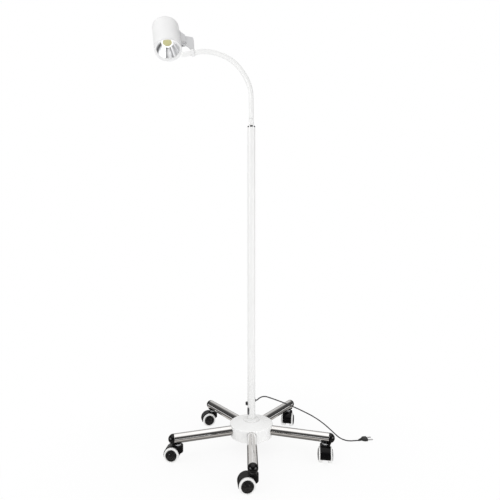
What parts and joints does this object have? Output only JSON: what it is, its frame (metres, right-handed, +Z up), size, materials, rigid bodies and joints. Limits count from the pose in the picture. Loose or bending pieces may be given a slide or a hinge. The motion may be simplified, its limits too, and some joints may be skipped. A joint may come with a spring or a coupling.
{
  "type": "examination lamp",
  "caption": "Mobile examination lamp: star base on twin-wheel castors, slim white pole, bendable neck and a tilting cylindrical spot head.",
  "frame": {"origin": "centre of the hub's flat underside, on the pole axis; the floor is 50 mm below it", "axes": "+Z up along the pole, -Y towards the user's side with the front leg, -X towards the lamp head at rest"},
  "size_m": [0.8184, 0.5379, 1.5543],
  "materials": {
    "white_coat": "satin powder coat",
    "white_head": "matte white coat",
    "white_sleeve": "smooth white sleeve",
    "iron": "rough black-grey casting",
    "plated_steel": "zinc plated",
    "polished_steel": "polished stainless tube",
    "black_cap": "glossy black moulding",
    "grey_washer": "satin plated",
    "black_castor": "satin black moulding",
    "white_tread": "pale tread with a black centre disc",
    "chrome_nut": "bright plated",
    "black_control": "matte black",
    "soft_black": "soft black",
    "cord_grey": "dark grey sheath",
    "grey_bracket": "light grey satin coat",
    "sink_aluminium": "cast, fine blasted",
    "white_holder": "glossy white",
    "led_yellow": "pale carrier with yellow phosphor",
    "mirror_bowl": "faceted metallised bowl",
    "satin_ring": "satin light grey funnel ring"
  },
  "bodies": {
    "base": {"hub_cover": "white_coat", "hub_core": "iron", "hub_base_plate": "plated_steel", "hub_screws": "plated_steel", "leg_front": "polished_steel", "leg_right_front": "polished_steel", "leg_right_rear": "polished_steel", "leg_left_rear": "polished_steel", "leg_left_front": "polished_steel", "leg_caps": "black_cap", "castor_stems": "plated_steel", "castor_washers": "grey_washer", "pole": "white_coat", "pole_flange": "white_coat", "pole_top_bush": "plated_steel", "neck_lock_nut": "chrome_nut", "dimmer_control": "black_control", "switch_frame": "black_control", "cord_grommet": "soft_black", "mains_cord": "cord_grey", "mains_plug": "cord_grey", "neck_base": "white_sleeve"},
    "castor_1": {"castor_1_hood": "black_castor", "castor_1_axle": "plated_steel"},
    "castor_1_wheel_a": {"castor_1_wheel_a": "white_tread"},
    "castor_1_wheel_b": {"castor_1_wheel_b": "white_tread"},
    "castor_2": {"castor_2_hood": "black_castor", "castor_2_axle": "plated_steel"},
    "castor_2_wheel_a": {"castor_2_wheel_a": "white_tread"},
    "castor_2_wheel_b": {"castor_2_wheel_b": "white_tread"},
    "castor_3": {"castor_3_hood": "black_castor", "castor_3_axle": "plated_steel"},
    "castor_3_wheel_a": {"castor_3_wheel_a": "white_tread"},
    "castor_3_wheel_b": {"castor_3_wheel_b": "white_tread"},
    "castor_4": {"castor_4_hood": "black_castor", "castor_4_axle": "plated_steel"},
    "castor_4_wheel_a": {"castor_4_wheel_a": "white_tread"},
    "castor_4_wheel_b": {"castor_4_wheel_b": "white_tread"},
    "castor_5": {"castor_5_hood": "black_castor", "castor_5_axle": "plated_steel"},
    "castor_5_wheel_a": {"castor_5_wheel_a": "white_tread"},
    "castor_5_wheel_b": {"castor_5_wheel_b": "white_tread"},
    "neck_1": {"neck_link_1": "white_sleeve"},
    "neck_2": {"neck_link_2": "white_sleeve"},
    "neck_3": {"neck_link_3": "white_sleeve"},
    "neck_4": {"neck_link_4": "white_sleeve"},
    "neck_5": {"neck_link_5": "white_sleeve"},
    "neck_end": {"neck_end_tube": "white_sleeve"},
    "bracket": {"lamp_bracket": "grey_bracket"},
    "head": {"pivot_screw": "plated_steel", "lamp_housing": "white_head", "rear_cover": "white_head", "heat_sink": "sink_aluminium", "led_holder": "white_holder", "led_module": "led_yellow", "reflector": "mirror_bowl", "front_ring": "satin_ring"},
    "dimmer": {"dimmer_knob": "black_control"},
    "rocker": {"switch_rocker": "black_control"}
  },
  "joints": [
    {"name": "castor_1_swivel", "type": "hinge", "parent": "base", "child": "castor_1", "pos_m": [0.00343, -0.26198, 0], "axis": [0, 0, 1], "continuous": true},
    {"name": "castor_1_wheel_a_spin", "type": "hinge", "parent": "castor_1", "child": "castor_1_wheel_a", "pos_m": [-0.01444, -0.26417, -0.025], "axis": [0.1219, -0.9925, 0], "continuous": true},
    {"name": "castor_1_wheel_b_spin", "type": "hinge", "parent": "castor_1", "child": "castor_1_wheel_b", "pos_m": [-0.01444, -0.26417, -0.025], "axis": [0.1219, -0.9925, 0], "continuous": true},
    {"name": "castor_2_swivel", "type": "hinge", "parent": "base", "child": "castor_2", "pos_m": [0.25022, -0.07769, 0], "axis": [0, 0, 1], "continuous": true},
    {"name": "castor_2_wheel_a_spin", "type": "hinge", "parent": "castor_2", "child": "castor_2_wheel_a", "pos_m": [0.24771, -0.09552, -0.025], "axis": [0.9903, -0.1392, 0], "continuous": true},
    {"name": "castor_2_wheel_b_spin", "type": "hinge", "parent": "castor_2", "child": "castor_2_wheel_b", "pos_m": [0.24771, -0.09552, -0.025], "axis": [0.9903, -0.1392, 0], "continuous": true},
    {"name": "castor_3_swivel", "type": "hinge", "parent": "base", "child": "castor_3", "pos_m": [0.15121, 0.21396, 0], "axis": [0, 0, 1], "continuous": true},
    {"name": "castor_3_wheel_a_spin", "type": "hinge", "parent": "castor_3", "child": "castor_3_wheel_a", "pos_m": [0.14747, 0.19635, -0.025], "axis": [0.9781, -0.2079, 0], "continuous": true},
    {"name": "castor_3_wheel_b_spin", "type": "hinge", "parent": "castor_3", "child": "castor_3_wheel_b", "pos_m": [0.14747, 0.19635, -0.025], "axis": [0.9781, -0.2079, 0], "continuous": true},
    {"name": "castor_4_swivel", "type": "hinge", "parent": "base", "child": "castor_4", "pos_m": [-0.15676, 0.20993, 0], "axis": [0, 0, 1], "continuous": true},
    {"name": "castor_4_wheel_a_spin", "type": "hinge", "parent": "castor_4", "child": "castor_4_wheel_a", "pos_m": [-0.17406, 0.20497, -0.025], "axis": [0.2756, -0.9613, 0], "continuous": true},
    {"name": "castor_4_wheel_b_spin", "type": "hinge", "parent": "castor_4", "child": "castor_4_wheel_b", "pos_m": [-0.17406, 0.20497, -0.025], "axis": [0.2756, -0.9613, 0], "continuous": true},
    {"name": "castor_5_swivel", "type": "hinge", "parent": "base", "child": "castor_5", "pos_m": [-0.2481, -0.08422, 0], "axis": [0, 0, 1], "continuous": true},
    {"name": "castor_5_wheel_a_spin", "type": "hinge", "parent": "castor_5", "child": "castor_5_wheel_a", "pos_m": [-0.26603, -0.08265, -0.025], "axis": [-0.0872, -0.9962, 0], "continuous": true},
    {"name": "castor_5_wheel_b_spin", "type": "hinge", "parent": "castor_5", "child": "castor_5_wheel_b", "pos_m": [-0.26603, -0.08265, -0.025], "axis": [-0.0872, -0.9962, 0], "continuous": true},
    {"name": "neck_bend_1", "type": "hinge", "parent": "base", "child": "neck_1", "pos_m": [0, 0, 1.152], "axis": [0, -1, 0], "range_deg": [-30, 22]},
    {"name": "neck_bend_2", "type": "hinge", "parent": "neck_1", "child": "neck_2", "pos_m": [-0.00105, 0, 1.21199], "axis": [0.9994, 0, 0.0349], "range_deg": [-26, 26]},
    {"name": "neck_bend_3", "type": "hinge", "parent": "neck_2", "child": "neck_3", "pos_m": [-0.01546, 0, 1.26978], "axis": [0, -1, 0], "range_deg": [-30, 22]},
    {"name": "neck_bend_4", "type": "hinge", "parent": "neck_3", "child": "neck_4", "pos_m": [-0.0489, 0, 1.31936], "axis": [0.7431, 0, 0.6691], "range_deg": [-26, 26]},
    {"name": "neck_bend_5", "type": "hinge", "parent": "neck_4", "child": "neck_5", "pos_m": [-0.09709, 0, 1.35437], "axis": [0, -1, 0], "range_deg": [-30, 22]},
    {"name": "neck_bend_6", "type": "hinge", "parent": "neck_5", "child": "neck_end", "pos_m": [-0.15469, 0, 1.37035], "axis": [0.1219, 0, 0.9925], "range_deg": [-26, 26]},
    {"name": "bracket_swivel", "type": "hinge", "parent": "neck_end", "child": "bracket", "pos_m": [-0.20975, 0, 1.36602], "axis": [0.9848, 0, 0.1736], "range_deg": [-120, 120]},
    {"name": "head_tilt", "type": "hinge", "parent": "bracket", "child": "head", "pos_m": [-0.24419, 0.01862, 1.40871], "axis": [0.0628, 0.9323, -0.3561], "range_deg": [-30, 30]},
    {"name": "dimmer_turn", "type": "hinge", "parent": "base", "child": "dimmer", "pos_m": [-0.01379, -0.00243, 0.112], "axis": [-0.9848, -0.1736, 0], "range_deg": [-180, 90]},
    {"name": "switch_rock", "type": "hinge", "parent": "base", "child": "rocker", "pos_m": [-0.00943, -0.0082, 0.087], "axis": [0.6561, -0.7547, 0], "range_deg": [0, 12]}
  ]
}
